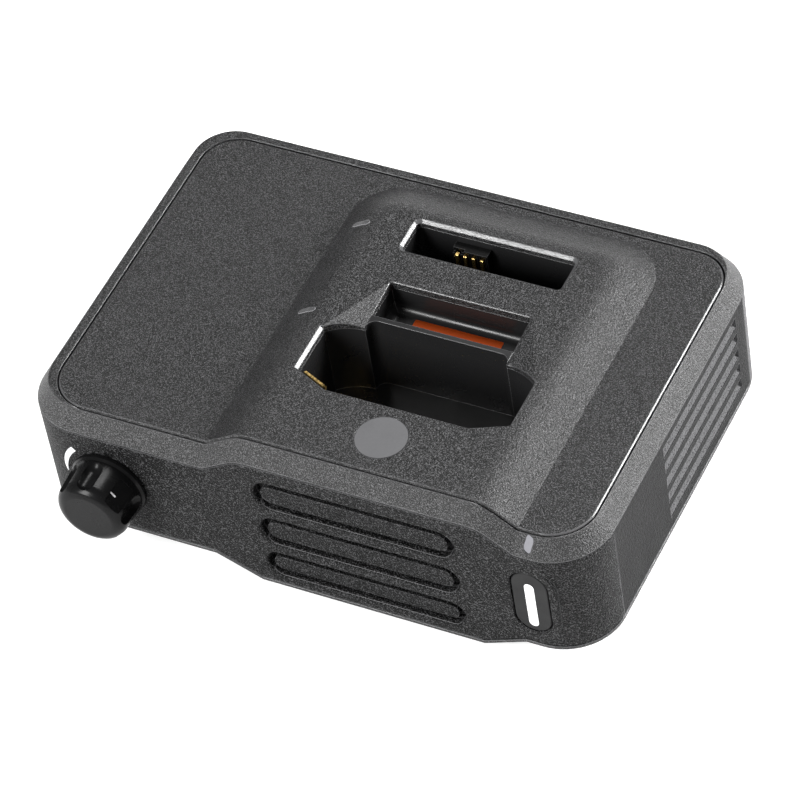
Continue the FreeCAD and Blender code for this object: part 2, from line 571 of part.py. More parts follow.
def battery_contacts():
    """Block on the rear wall of the slot, with four leaf contacts that give towards it."""
    face = SLOT_Y1 - CONTACT_BLOCK_DEEP
    body = box(CONTACT_X0, CONTACT_X1, face, SLOT_Y1, CONTACT_Z - 16, CONTACT_Z)
    body = body.cut(box(CONTACT_X0 - 1, CONTACT_X0 + 4, face - 1, face + 0.9,
                        CONTACT_Z - 1.6, CONTACT_Z + 1))
    leaves = []
    for k in range(CONTACT_COUNT):
        x = CONTACT_X0 + 1.7 + k * CONTACT_PITCH
        body = body.cut(box(x - 0.9, x + 0.9, face - 1, face + 2.4, CONTACT_Z - 14, CONTACT_Z - 0.8))
        leaf = box(x - 0.5, x + 0.5, face - 0.9, face + 0.5, CONTACT_Z - 13, CONTACT_Z - 1.4)
        leaves.append(soften(leaf, 0.45, lambda edge: edge.BoundBox.YMax < face - 0.89
                             and edge.BoundBox.XLength > 0.5))
    save("battery_contact_block", body)
    save("battery_contact_leaves", *leaves)


def radio_contacts():
    """Block on the floor of the well with a row of sprung pins."""
    x0, y0, z0 = FEATURE_X - 12, -31.0, WELL_FLOOR_Z
    body = block(x0, x0 + 24, y0, y0 + 6, z0, z0 + 3.2, 1.0)
    pins = []
    for k in range(PIN_COUNT):
        x = FEATURE_X + (k - (PIN_COUNT - 1) / 2) * PIN_PITCH
        body = body.cut(rod((x, y0 + 3, z0), 1.05, 4))
        pin = rod((x, y0 + 3, z0 + 1.8), 0.7, 3.2)
        pins.append(soften(pin, 0.5, lambda edge: edge.BoundBox.ZMin > z0 + 4.9))
    save("radio_contact_block", body)
    save("radio_contact_pins", *pins)


def side_contact():
    """Gold spring strip along the front left chamfer of the well."""
    profile = [(0.0, 50.5), (0.5, 50.5), (2.6, 57.9), (2.1, 59.0), (1.2, 59.3), (1.0, 58.8),
               (1.8, 58.5), (2.0, 57.9), (0.0, 51.5)]
    corners = [Vector(0, out, z) for out, z in profile]
    strip_face = Part.Face(Part.makePolygon(corners + corners[:1]))
    contact = strip_face.extrude(Vector(8.6, 0, 0))
    slope = math.degrees(math.atan2(WELL_CHAMFER_Y, WELL_CHAMFER_X))
    contact.rotate(Vector(0, 0, 0), Vector(0, 0, 1), -slope)
    contact.translate(Vector(FEATURE_X - WELL_HALF_W + 1.4,
                             WELL_FRONT + WELL_CHAMFER_Y - 1.4 * WELL_CHAMFER_Y / WELL_CHAMFER_X, 0))
    save("radio_side_contact", contact)


def trough_label():
    save("trough_label", block(FEATURE_X - 15, FEATURE_X + 14.6, 2.9, 6.5,
                               TROUGH_FLOOR_Z, TROUGH_FLOOR_Z + 0.15, 0.6))


# ---- loudspeaker behind the grille --------------------------------------------------------------
def drilled(layer):
    """A layer of the speaker stack with the four clearance holes for its screws."""
    for x, z in SPEAKER_SCREWS:
        layer = layer.cut(rod((x, FRONT + WALL, z), 1.2, 12, (0, 1, 0)))
    return layer


def grille_and_speaker():
    back = FRONT + WALL
    x0, x1, z0, z1 = -17.0, 53.5, 3.2, 52.0
    carrier = box(x0, x1, back, back + CARRIER, z0, z1)
    for low, high in GRILLE_SLOTS:
        carrier = carrier.cut(pill(GRILLE_X0, GRILLE_X1, low, high, back - 1, CARRIER + 2))
        island = pill(GRILLE_X0, GRILLE_X1, low, high, FRONT + GRILLE_RECESS,
                      back + CARRIER - FRONT - GRILLE_RECESS, -GRILLE_GAP)
        island = soften(island, 0.3, lambda edge: edge.BoundBox.YMax < FRONT + GRILLE_RECESS + 0.01)
        carrier = carrier.fuse(island)
        for k in range(6):
            x = GRILLE_X0 + 5 + k * (GRILLE_X1 - GRILLE_X0 - 10) / 5
            carrier = carrier.fuse(box(x - 0.8, x + 0.8, back + 0.4, back + CARRIER,
                                       low - 0.5, high + 0.5))
    save("grille_insert", drilled(carrier).removeSplitter())

    y = back + CARRIER
    save("acoustic_cloth", drilled(box(x0, x1, y, y + CLOTH, z0, z1)))
    y += CLOTH
    sx, sz = SPEAKER_X, SPEAKER_Z
    gasket = upright(sx - 34.5, sx + 34.5, sz - 19.5, sz + 19.5, y, GASKET, 8).cut(
        upright(sx - 30, sx + 30, sz - 16.5, sz + 16.5, y - 1, 3, 6))
    save("speaker_gasket", drilled(gasket))
    surround = upright(sx - 29.9, sx + 29.9, sz - 16.4, sz + 16.4, y + 0.2, 0.6, 7).cut(
        upright(sx - 25, sx + 25, sz - 12, sz + 12, y - 1, 3, 5))
    save("speaker_surround", surround)
    y += GASKET

    def oval(half_x, half_z, at_y, r):
        wire = rounded(sx - half_x, sx + half_x, sz - half_z, sz + half_z, 0, r, r)
        wire.rotate(Vector(0, 0, 0), Vector(1, 0, 0), 90)
        wire.translate(Vector(0, at_y, 0))
        return wire

    flange = upright(sx - 34.5, sx + 34.5, sz - 19.5, sz + 19.5, y, FLANGE, 8)
    basket = loft(oval(30.5, 17, y + FLANGE, 8), oval(16, 13.5, y + 12, 6))
    hollow = loft(oval(29.5, 16, y, 7), oval(15, 12.5, y + 11, 5))
    frame = flange.fuse(basket).cut(hollow)
    frame = frame.cut(rod((sx, y, sz), 7.0, 20, (0, 1, 0)))
    for side in (-1, 1):
        frame = frame.cut(box(*sorted((sx + side * 18, sx + side * 40)), y + 3.5, y + 9, sz - 8, sz + 8))
    save("speaker_frame", drilled(frame).removeSplitter())
    cone = loft(oval(25, 12, y, 5), oval(7, 6, y + 8, 5.9)).cut(
        loft(oval(24.5, 11.5, y - 0.3, 4.6), oval(6.4, 5.4, y + 7.7, 5.3)))
    save("speaker_cone", cone)
    save("speaker_voice_coil", tube((sx, y + 8, sz), 5.9, 5.3, 6, (0, 1, 0)))
    magnet = rod((sx, y + 12, sz), 13.5, 7.0, (0, 1, 0)).cut(rod((sx, y + 11, sz), 6.6, 5, (0, 1, 0)))
    save("speaker_magnet", magnet)


# ---- volume control -----------------------------------------------------------------------------
def volume_control():
    def along(radius, start, end):
        return rod((KNOB_X, FRONT - start, KNOB_Z), radius, end - start, (0, -1, 0))

    shaft_end, bush_end = 11.5, 3.4
    body = along(8.5, -WALL - 9.0, -WALL).fuse(along(3.5, -WALL - 1, bush_end))
    body = body.cut(along(SHAFT_R + 0.05, -WALL - 6.2, bush_end + 1))
    for k in (-1, 0, 1):
        body = body.fuse(box(KNOB_X + 5 * k - 0.6, KNOB_X + 5 * k + 0.6, FRONT + WALL + 6,
                             FRONT + WALL + 6.6, KNOB_Z - 12, KNOB_Z - 7))
    save("volume_potentiometer", body.removeSplitter())
    save("volume_washer", along(6.0, 0, 0.5).cut(along(3.5, -1, 1)))
    points = [Vector(KNOB_X + 5.4 * math.cos(math.radians(60 * k)), FRONT - 0.5,
                     KNOB_Z + 5.4 * math.sin(math.radians(60 * k))) for k in range(7)]
    nut = Part.Face(Part.makePolygon(points)).extrude(Vector(0, -2.2, 0))
    save("volume_nut", nut.cut(along(3.5, 0, 4)))
    shaft = along(SHAFT_R, -WALL - 6.0, shaft_end)
    save("volume_shaft", shaft)

    reach, shoulder, face_r, skirt_r = KNOB_REACH, 4.2, KNOB_R - 4.0, KNOB_R + 0.5
    a = math.radians(45)
    profile = [Part.LineSegment(Vector(0, 0.4, 0), Vector(skirt_r, 0.4, 0)),
               Part.LineSegment(Vector(skirt_r, 0.4, 0), Vector(skirt_r, 1.5, 0)),
               Part.LineSegment(Vector(skirt_r, 1.5, 0), Vector(KNOB_R, 2.4, 0)),
               Part.LineSegment(Vector(KNOB_R, 2.4, 0), Vector(KNOB_R - 0.3, reach - shoulder, 0)),
               Part.Arc(Vector(KNOB_R - 0.3, reach - shoulder, 0),
                        Vector(face_r + 3.7 * math.cos(a), reach - shoulder + shoulder * math.sin(a), 0),
                        Vector(face_r, reach, 0)),
               Part.LineSegment(Vector(face_r, reach, 0), Vector(0, reach, 0)),
               Part.LineSegment(Vector(0, reach, 0), Vector(0, 0.4, 0))]
    wire = Part.Wire([piece.toShape() for piece in profile])
    knob = Part.Face(wire).revolve(Vector(0, 0, 0), Vector(0, 1, 0), 360)
    knob.rotate(Vector(0, 0, 0), Vector(0, 0, 1), 180)
    knob.translate(Vector(KNOB_X, FRONT, KNOB_Z))
    for k in range(1, KNOB_FLUTES):
        turn = math.radians(POINTER_DEG + 360 * k / KNOB_FLUTES)
        x, z = KNOB_X + FLUTE_AT * math.cos(turn), KNOB_Z + FLUTE_AT * math.sin(turn)
        near, far = FLUTE_ENDS
        flute = rod((x, FRONT - near, z), FLUTE_R, far - near, (0, -1, 0))
        for end in FLUTE_ENDS:
            flute = flute.fuse(Part.makeSphere(FLUTE_R, Vector(x, FRONT - end, z)))
        knob = knob.cut(flute)
    knob = knob.cut(along(8.5, -1, 4.2)).cut(along(SHAFT_R, 4, shaft_end))

    def on_pointer(piece, lean=0.0):
        """Turns a piece that is drawn above the knob's axis to where the pointer is."""
        piece.rotate(Vector(0, -4.4, 11.6), Vector(1, 0, 0), lean)
        piece.rotate(Vector(0, 0, 0), Vector(0, 1, 0), 90 - POINTER_FLAT_DEG)
        piece.translate(Vector(KNOB_X, FRONT, KNOB_Z))
        return piece

    knob = knob.cut(on_pointer(box(-3.2, 3.2, -20.0, -4.4, 11.6, 16.0), POINTER_LEAN))
    tick = on_pointer(box(-3.0, -0.8, -10.4, -9.9, 11.3, 11.7), POINTER_LEAN)
    save("knob_pointer", tick)
    save("volume_knob", knob.cut(tick).removeSplitter())


# ---- push button --------------------------------------------------------------------------------
def push_button():
    x0, x1, z0, z1 = BUTTON_BOX
    cap = pill(x0, x1, z0, z1, FRONT + 0.25, BUTTON_DEEP - 0.25)
    cap = soften(cap, 0.5, lambda edge: edge.BoundBox.YMax < FRONT + 0.3)
    lip = pill(x0, x1, z0, z1, FRONT + BOSS_DEEP + 0.1, 1.4, 1.2)
    middle = BUTTON_Z - BAR_DROP
    bar = pill(BUTTON_X - BAR_W / 2, BUTTON_X + BAR_W / 2, middle - BAR_H / 2, middle + BAR_H / 2,
               FRONT + 0.2, BUTTON_DEEP - 0.4)
    save("power_button", cap.fuse(lip).removeSplitter().cut(bar))
    save("power_button_light", bar)
    y = FRONT + BUTTON_DEEP
    save("switch_plunger", rod((BUTTON_X, y, BUTTON_Z + 6), 1.5, 2.8, (0, 1, 0)))
    body = box(BUTTON_X - 3, BUTTON_X + 3, y + 1.4, BUTTON_BOARD_Y, BUTTON_Z + 3, BUTTON_Z + 9)
    save("power_switch", body.cut(rod((BUTTON_X, y, BUTTON_Z + 6), 1.85, 4.6, (0, 1, 0))))
    x_left = BUTTON_BOARD_POST_X - 3.5
    board = box(x_left, BUTTON_X + 6.5, BUTTON_BOARD_Y, BUTTON_BOARD_Y + 1.2, 12.5, 39.5)
    for z in BUTTON_BOARD_POSTS_Z:
        board = board.cut(rod((BUTTON_BOARD_POST_X, BUTTON_BOARD_Y - 1, z), 1.1, 4, (0, 1, 0)))
    save("button_board", board)


# ---- boards, connectors and cooling -------------------------------------------------------------
def electronics():
    board = block(-74.0, 74.0, -33.0, 60.0, BOARD_Z, BOARD_Z + BOARD_T, 3)
    for x, y in BOARD_SCREWS:
        board = board.cut(rod((x, y, BOARD_Z - 1), 1.2, 4))
    save("main_board", board)
    top = BOARD_Z + BOARD_T
    save("charger_shield", block(-62.0, -30.0, -4.0, 26.0, top, top + 8, 1.5).cut(
        block(-61.6, -30.4, -3.6, 25.6, top - 1, top + 7.6, 1.1)))
    save("smoothing_capacitors", *[rod((-66.0 + 12 * k, 40.0, top), 5.0, 16.0) for k in range(2)])
    save("choke", tube((-66.0, -14.0, top), 8.0, 3.5, 7.0))
    sink = box(60.5, 73.0, -8.0, 40.0, top, top + 20)
    for k in range(4):
        x = 62.1 + 2.8 * k
        sink = sink.cut(box(x, x + 1.5, -9.0, 41.0, top + 3, top + 21))
    save("heat_sink", sink)
    save("indicator_leds", *[box(CHARGE_LENS_X - 1, CHARGE_LENS_X + 1, y - 0.6, y + 0.6, top, LED_Z)
                             for y in CHARGE_LENS_Y])


def rear_connectors():
    top = BOARD_Z + BOARD_T
    jack = box(JACK_X - 6, JACK_X + 6, 50.5, REAR - WALL, top, JACK_Z + 6)
    jack = jack.fuse(rod((JACK_X, REAR - WALL - 1, JACK_Z), JACK_R, WALL + 1, (0, 1, 0)))
    jack = jack.cut(rod((JACK_X, REAR - 10, JACK_Z), 2.9, 12, (0, 1, 0)))
    save("dc_inlet", jack.removeSplitter())
    pin = rod((JACK_X, REAR - 10, JACK_Z), 1.0, 9, (0, 1, 0))
    save("dc_inlet_pin", soften(pin, 0.6, lambda edge: edge.BoundBox.YMin > REAR - 1.1))
    x0, x1, z0, z1 = MODULAR_BOX
    socket = box(x0, x1, REAR - 17, REAR, z0, z1).fuse(
        box(x0, x1, REAR - 17, REAR - WALL, top, z0))
    middle = (x0 + x1) / 2
    socket = socket.cut(box(middle - 5.9, middle + 5.9, REAR - 13, REAR + 1, z0 + 3.2, z1 - 1.6))
    socket = socket.cut(box(middle - 3.2, middle + 3.2, REAR - 13, REAR + 1, z0 + 1.3, z0 + 4))
    save("accessory_socket", socket.removeSplitter())
    wires = [box(middle - 3.8 + 1.02 * k, middle - 3.4 + 1.02 * k, REAR - 12, REAR - 3.5,
                 z1 - 2.6, z1 - 1.6) for k in range(8)]
    save("accessory_contacts", *wires)


# ---- fasteners and feet -------------------------------------------------------------------------
def screw(x, y, z, length, radius, head_r, head_h, up=1):
    """Cross-head screw whose head's seat is at z and whose shank runs up, or down."""
    body = rod((x, y, z), radius, length, (0, 0, up))
    head = rod((x, y, z), head_r, head_h, (0, 0, -up))
    low = z - up * head_h
    cut = head_r * 0.62
    for wide, deep in ((cut, 0.35), (0.35, cut)):
        z0, z1 = sorted((low, low + up * head_h * 0.55))
        head = head.cut(box(x - wide, x + wide, y - deep, y + deep, z0, z1))
    return body.fuse(head).removeSplitter()


def fasteners():
    save("case_screws", *[screw(sx * POST_X, y, CASE_SCREW_HEAD_Z, 30.0, 1.45, 2.9, 2.2)
                          for sx in (-1, 1) for y in POST_Y])
    save("wall_screws", *[screw(x, y, WING_Z + 1.2, 4.0, 1.25, 2.4, 1.1) for x, y in WALL_SCREWS])
    top = BOARD_Z + BOARD_T
    save("board_screws", *[screw(x, y, top, 5.5, 1.0, 2.2, 1.2, -1) for x, y in BOARD_SCREWS])
    seat = FRONT + WALL + CARRIER + CLOTH + GASKET + FLANGE
    pins = []
    for x, z in SPEAKER_SCREWS:
        pin = screw(0, 0, 0, seat - FRONT - 1.0, 1.1, 1.9, 1.0)
        pin.rotate(Vector(0, 0, 0), Vector(1, 0, 0), 90)
        pin.translate(Vector(x, seat, z))
        pins.append(pin)
    save("speaker_screws", *pins)
    pins = []
    for z in BUTTON_BOARD_POSTS_Z:
        pin = screw(0, 0, 0, 5.0, 1.0, 2.0, 1.0)
        pin.rotate(Vector(0, 0, 0), Vector(1, 0, 0), 90)
        pin.translate(Vector(BUTTON_BOARD_POST_X, BUTTON_BOARD_Y + 1.2, z))
        pins.append(pin)
    save("button_board_screws", *pins)


def feet():
    for sx, side in ((-1, "left"), (1, "right")):
        for y, end in zip(FOOT_Y, ("front", "rear")):
            pad = Part.makeCone(5.6, 6.6, WING_Z + FOOT_STAND, Vector(sx * FOOT_X, y, -FOOT_STAND))
            pad = soften(pad, 0.8, lambda edge: edge.BoundBox.ZMax < 0.1 - FOOT_STAND)
            peg = rod((sx * FOOT_X, y, WING_Z - 1), 2.0, WALL + 1)
            save("foot_%s_%s" % (end, side), pad.fuse(peg).removeSplitter())


os.makedirs("parts", exist_ok=True)
CASE_SHELL = solid_case().cut(solid_case(WALL))
fascia_wall, housing_wall = walls()
front_fascia(fascia_wall)
rear_housing(housing_wall)
deck_panel = top_panel()
upper_housing(deck_panel)
base_cover()
save("badge_disc", rod((BADGE_X, BADGE_Y, PLATEAU_Z - BADGE_DEEP), BADGE_R, BADGE_DEEP + 0.05))
save("volume_mark", volume_mark())
save("status_lens", status_lens())
charge_lens("radio_charge_lens", CHARGE_LENS_Y[0])
charge_lens("battery_charge_lens", CHARGE_LENS_Y[1])
rating_label()
radio_pocket(deck_panel)
battery_pocket(deck_panel)
battery_contacts()
radio_contacts()
side_contact()
trough_label()
grille_and_speaker()
volume_control()
push_button()
electronics()
rear_connectors()
fasteners()
feet()
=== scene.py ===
import math

import bpy
from mathutils import Matrix, Vector

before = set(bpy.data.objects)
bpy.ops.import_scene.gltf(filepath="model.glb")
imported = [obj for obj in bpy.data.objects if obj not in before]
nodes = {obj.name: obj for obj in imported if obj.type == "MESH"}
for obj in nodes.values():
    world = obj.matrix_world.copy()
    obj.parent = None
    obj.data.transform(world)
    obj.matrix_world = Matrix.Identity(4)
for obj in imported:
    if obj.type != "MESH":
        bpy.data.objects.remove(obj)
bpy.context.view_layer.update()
scene = bpy.context.scene
scene.view_settings.view_transform = "Standard"
scene.view_settings.look = "None"


# ---- camera -------------------------------------------------------------------------------------
CAMERA_TURN = (32.855, 47.235, -10.337)     # degrees round from the front, up, and rolled
CAMERA_AIM = (0.0, 0.00865, 0.0337)
CAMERA_AWAY = 1.3918
CAMERA_SHIFT = (0.00108, -0.00985)          # sideways and upward in the picture
LENS_MM = 204.7


def make_camera():
    """A long lens above the front right corner, rolled a little."""
    az, el, roll = (math.radians(angle) for angle in CAMERA_TURN)
    back = Vector((math.sin(az) * math.cos(el), -math.cos(az) * math.cos(el), math.sin(el)))
    right = Vector((math.cos(az), math.sin(az), 0.0))
    up = back.cross(right)
    across = math.cos(roll) * right + math.sin(roll) * up
    upward = math.cos(roll) * up - math.sin(roll) * right
    place = Vector(CAMERA_AIM) + back * CAMERA_AWAY
    place = place + across * CAMERA_SHIFT[0] + upward * CAMERA_SHIFT[1]
    data = bpy.data.cameras.new("camera")
    data.lens = LENS_MM
    data.sensor_width = 36.0
    data.clip_start = 0.1
    data.clip_end = 20.0
    camera = bpy.data.objects.new("camera", data)
    camera.matrix_world = Matrix.Translation(place) @ Matrix(
        (across, upward, back)).transposed().to_4x4()
    scene.collection.objects.link(camera)
    scene.camera = camera


# ---- light and floor ----------------------------------------------------------------------------
# Each lamp: place, size and watts
LAMPS = {"right_rear": ((1.30, 0.90, 0.52), (0.6, 0.9), 60),
         "front_left": ((-0.62, -1.25, 0.78), (0.5, 0.9), 34),
         "above": ((0.0, 0.66, 1.42), (0.4, 0.4), 12)}
LAMP_AIM = (0, 0, 0.03)
WORLD_LIGHT = 0.2
FLOOR_HALF = 6.0
FLOOR_GREY = 0.85
FLOOR_GLOW = 0.42


def area_light(name, place, size, power):
    data = bpy.data.lights.new(name, "AREA")
    data.shape = "RECTANGLE"
    data.size, data.size_y = size
    data.energy = power
    lamp = bpy.data.objects.new(name, data)
    lamp.location = place
    lamp.rotation_euler = (Vector(LAMP_AIM) - Vector(place)).to_track_quat("-Z", "Y").to_euler()
    scene.collection.objects.link(lamp)


def make_studio():
    """A soft box low at the right rear, a weaker one at the front left, a dim one high at the rear
    and a pale floor that glows a little."""
    world = bpy.data.worlds.new("studio")
    scene.world = world
    world.use_nodes = True
    world.node_tree.nodes["Background"].inputs["Color"].default_value = (1, 1, 1, 1)
    world.node_tree.nodes["Background"].inputs["Strength"].default_value = WORLD_LIGHT
    for name, (place, size, power) in LAMPS.items():
        area_light(name, place, size, power)
    mesh = bpy.data.meshes.new("floor")
    half = FLOOR_HALF
    corners = [(-half, -half, 0), (half, -half, 0), (half, half, 0), (-half, half, 0)]
    mesh.from_pydata(corners, [], [(0, 1, 2, 3)])
    floor = bpy.data.objects.new("floor", mesh)
    scene.collection.objects.link(floor)
    mat = bpy.data.materials.new("floor")
    mat.use_nodes = True
    bsdf = mat.node_tree.nodes["Principled BSDF"]
    bsdf.inputs["Base Color"].default_value = (FLOOR_GREY, FLOOR_GREY, FLOOR_GREY, 1)
    bsdf.inputs["Roughness"].default_value = 0.9
    bsdf.inputs["Specular IOR Level"].default_value = 0.0
    bsdf.inputs["Emission Color"].default_value = (1, 1, 1, 1)
    bsdf.inputs["Emission Strength"].default_value = FLOOR_GLOW
    mesh.materials.append(mat)


# ---- material tools -----------------------------------------------------------------------------
WAVE_STEP = 0.314          # turns a band's size into the wave texture's scale
WORN_POLISH = 0.24         # how far roughness falls where a surface is worn
LIP_RISE = 0.7071          # upward part of the direction of a 45 degree cut
FALL_LEAN = -0.0794        # forward lean of the falls beside the trough, over their rise
EDGE_TURN = (0.965, 0.925) # how far rounded shading turns, as a cosine, from plain to fully worn and painted with an edge highlight


class Mat:
    """A node material with a few short-hands. Sizes are in metres."""

    def __init__(self, name, colour, roughness=0.5, **sockets):
        self.mat = bpy.data.materials.new(name)
        self.mat.use_nodes = True
        self.tree = self.mat.node_tree
        self.bsdf = self.tree.nodes["Principled BSDF"]
        self.bsdf.inputs["Base Color"].default_value = (*colour, 1)
        self.bsdf.inputs["Roughness"].default_value = roughness
        for key, value in sockets.items():
            self.bsdf.inputs[key.replace("_", " ")].default_value = value
        self.coords = self.tree.nodes.new("ShaderNodeTexCoord").outputs["Object"]
        self.normal = None

    def node(self, kind, **inputs):
        made = self.tree.nodes.new(kind)
        for key, value in inputs.items():
            socket = made.inputs[key.replace("_", " ")]
            if isinstance(value, bpy.types.NodeSocket):
                self.tree.links.new(value, socket)
            else:
                socket.default_value = value
        return made

    def stretched(self, along):
        """Coordinates squeezed along an axis, so that a pattern runs out into lines along it."""
        made = self.node("ShaderNodeMapping", Vector=self.coords)
        made.inputs["Scale"].default_value = [0.04 if axis == along else 1.0 for axis in "xyz"]
        return made.outputs["Vector"]

    def noise(self, size, detail=2.0, coords=None):
        made = self.node("ShaderNodeTexNoise", Vector=coords or self.coords, Scale=1.0 / size,
                         Detail=detail)
        return made.outputs["Fac"]

    def bands(self, size, direction):
        """Straight bands across an axis, one every size."""
        made = self.node("ShaderNodeTexWave", Vector=self.coords, Scale=WAVE_STEP / size)
        made.bands_direction = direction
        return made.outputs["Fac"]

    def maths(self, operation, a, b):
        made = self.tree.nodes.new("ShaderNodeMath")
        made.operation = operation
        for socket, value in zip(made.inputs, (a, b)):
            if isinstance(value, bpy.types.NodeSocket):
                self.tree.links.new(value, socket)
            else:
                socket.default_value = value
        return made.outputs[0]

    def span(self, fac, low, high, to_low, to_high):
        made = self.node("ShaderNodeMapRange", Value=fac, From_Min=low, From_Max=high,
                         To_Min=to_low, To_Max=to_high)
        return made.outputs["Result"]

    def rough(self, fac, low, high, wear_and_edge_highlight=None):
        """Roughness that drifts between low and high, and falls where the surface is worn."""
        value = self.span(fac, 0.35, 0.65, low, high)
        if wear_and_edge_highlight is not None:
            value = self.maths("SUBTRACT", value, self.maths("MULTIPLY", wear_and_edge_highlight, WORN_POLISH))
        self.tree.links.new(value, self.bsdf.inputs["Roughness"])

    def round_edges(self, radius):
        """Shades sharp edges as if they were broken by a small radius."""
        made = self.tree.nodes.new("ShaderNodeBevel")
        made.samples = 6
        made.inputs["Radius"].default_value = radius
        self.normal = made.outputs["Normal"]

    def edges(self):
        """Where the rounded shading turns well away from the true surface."""
        true = self.tree.nodes.new("ShaderNodeNewGeometry").outputs["Normal"]
        turned = self.tree.nodes.new("ShaderNodeVectorMath")
        turned.operation = "DOT_PRODUCT"
        self.tree.links.new(true, turned.inputs[0])
        self.tree.links.new(self.normal, turned.inputs[1])
        return self.span(turned.outputs["Value"], *EDGE_TURN, 0.0, 1.0)

    def facing(self):
        """The sideways, forward and upward parts of the true surface direction."""
        true = self.tree.nodes.new("ShaderNodeNewGeometry").outputs["Normal"]
        return self.node("ShaderNodeSeparateXYZ", Vector=true).outputs

    def near(self, value, wanted, within):
        """1 where a value is as wanted, and 0 beyond the margin."""
        off = self.maths("ABSOLUTE", self.maths("SUBTRACT", value, wanted), 0)
        return self.span(off, within * 0.6, within, 1.0, 0.0)

    def lips(self):
        """The narrow corner cuts round the openings and the panel, known by their 45 degree face."""
        return self.near(self.facing()["Z"], LIP_RISE, 0.05)

    def falls(self):
        """The falls of the deck beside the trough, known by how far they lean to the front."""
        part = self.facing()
        return self.near(self.maths("DIVIDE", part["Y"], part["Z"]), FALL_LEAN, 0.012)

    def bump(self, height, distance, strength=1.0):
        made = self.node("ShaderNodeBump", Height=height, Distance=distance, Strength=strength)
        if self.normal is not None:
            self.tree.links.new(self.normal, made.inputs["Normal"])
        self.normal = made.outputs["Normal"]
        self.tree.links.new(self.normal, self.bsdf.inputs["Normal"])

    def tint(self, fac, low, high):
        """Base colour between low and high."""
        mix = self.tree.nodes.new("ShaderNodeMix")
        mix.data_type = "RGBA"
        self.tree.links.new(fac, mix.inputs[0])
        mix.inputs[6].default_value = (*low, 1)
        mix.inputs[7].default_value = (*high, 1)
        self.tree.links.new(mix.outputs[2], self.bsdf.inputs["Base Color"])


def grey(level):
    return (level, level, level * 1.03)


def assign(made, *names):
    for name in names:
        slots = nodes[name].data.materials
        slots.clear()
        slots.append(made.mat)


# ---- plastics -----------------------------------------------------------------------------------
PATCH_SIZE = 0.016         # rubbed patches on the mouldings
SCUFF_WIDTH = 0.0011
SPECK_SHOWN = (0.53, 0.66) # noise levels over which a speck of the grain appears
# noise levels over which the louvre slopes are painted paler, as a painted highlight with coarse
# specks
LOUVRE_SHOWN = (0.34, 0.62)
SCUFF_SHOWN = (0.74, 0.80)
DARKEST, PALEST = 0.2, 11.0     # of the moulding's grey, between the specks and on them, and on the painted highlights of edges and louvres
FALL_FINISH = 0.75         # how much finer the falls beside the trough are
SMOOTHED_BUMP = 0.2        # what is left of the grain's relief on worn edges


def moulded(name, level, grain, rough, speckle=1.0, specular=0.5, inset_from=None):
    """Charcoal moulding: spark-eroded grain with bright specks, faint rubbed patches, a few hairline
    scuffs, and edges and 45 degree lips worn smoother and painted brighter as a highlight. Beyond
    inset_from, measured from the middle plane, the walls are smoother, and the louvres behind them
    keep a coarse grain and are painted paler as a highlight where their slopes face the lamps."""
    m = Mat(name, grey(level), Specular_IOR_Level=specular)
    m.round_edges(0.0005)
    wear_and_edge_highlight = m.maths("MAXIMUM", m.edges(), m.lips())
    fine = m.maths("MULTIPLY", m.falls(), FALL_FINISH)
    polish = m.maths("MAXIMUM", wear_and_edge_highlight, m.maths("MULTIPLY", fine, 0.5))
    m.rough(m.noise(PATCH_SIZE, 4.0), *rough, polish)
    grit = m.noise(grain, 2.0)
    speck = m.span(grit, *SPECK_SHOWN, 0.0, speckle)
    if inset_from:
        across = m.node("ShaderNodeSeparateXYZ", Vector=m.coords).outputs["X"]
        inside = m.span(m.maths("ABSOLUTE", across, 0), inset_from - 0.0001, inset_from, 1.0, 0.0)
        # Painted highlight: inside the wall plane the louvre slopes, which face the lamps, are tinted
        # far paler with coarse specks, while the walls keep few specks.
        speck = m.maths("ADD", m.span(speck, 0.0, 1.0, 0.09, 0.17),
                        m.maths("MULTIPLY", inside, m.span(grit, *LOUVRE_SHOWN, 0.0, 2.4)))
    scuffs = m.span(m.noise(SCUFF_WIDTH, 1.0, m.stretched("x")), *SCUFF_SHOWN, 0.0, 0.04)
    # Painted highlight: edges and 45 degree lips are tinted towards the pale grey as if they caught
    # the light, on top of the grain specks and the real scuffs.
    m.tint(m.maths("ADD", m.maths("ADD", speck, scuffs), wear_and_edge_highlight), grey(level * DARKEST),
           grey(level * PALEST))
    m.bump(m.noise(grain * 1.5), grain * 1.5,
           m.span(m.maths("MAXIMUM", wear_and_edge_highlight, fine), 0.0, 1.0, 1.0, SMOOTHED_BUMP))
    return m


def glossy(name, level, rough, specular=0.5):
    """Polished black moulding, slightly wavy, with a painted highlight that makes its edges paler."""
    m = Mat(name, grey(level), rough, Specular_IOR_Level=specular)
    m.round_edges(0.0004)
    m.rough(m.noise(0.012, 3.0), rough * 0.9, rough * 1.15)
    # Painted highlight: edges tinted paler as if they caught the light.
    m.tint(m.edges(), grey(level), grey(0.04 + level * 4.0))
    m.bump(m.noise(0.006, 1.0), 0.00005)
    return m


def satin(name, colour, rough, grain=0.00025, depth=0.000006, **sockets):
    """Smooth moulding, paint or print with a fine even grain."""
    m = Mat(name, colour, rough, **sockets)
    m.rough(m.noise(0.006, 4.0), rough * 0.85, rough * 1.2)
    m.tint(m.noise(grain * 4, 3.0), [c * 0.9 for c in colour], [min(1.0, c * 1.08) for c in colour])
    m.bump(m.noise(grain, 2.0), depth)
    return m


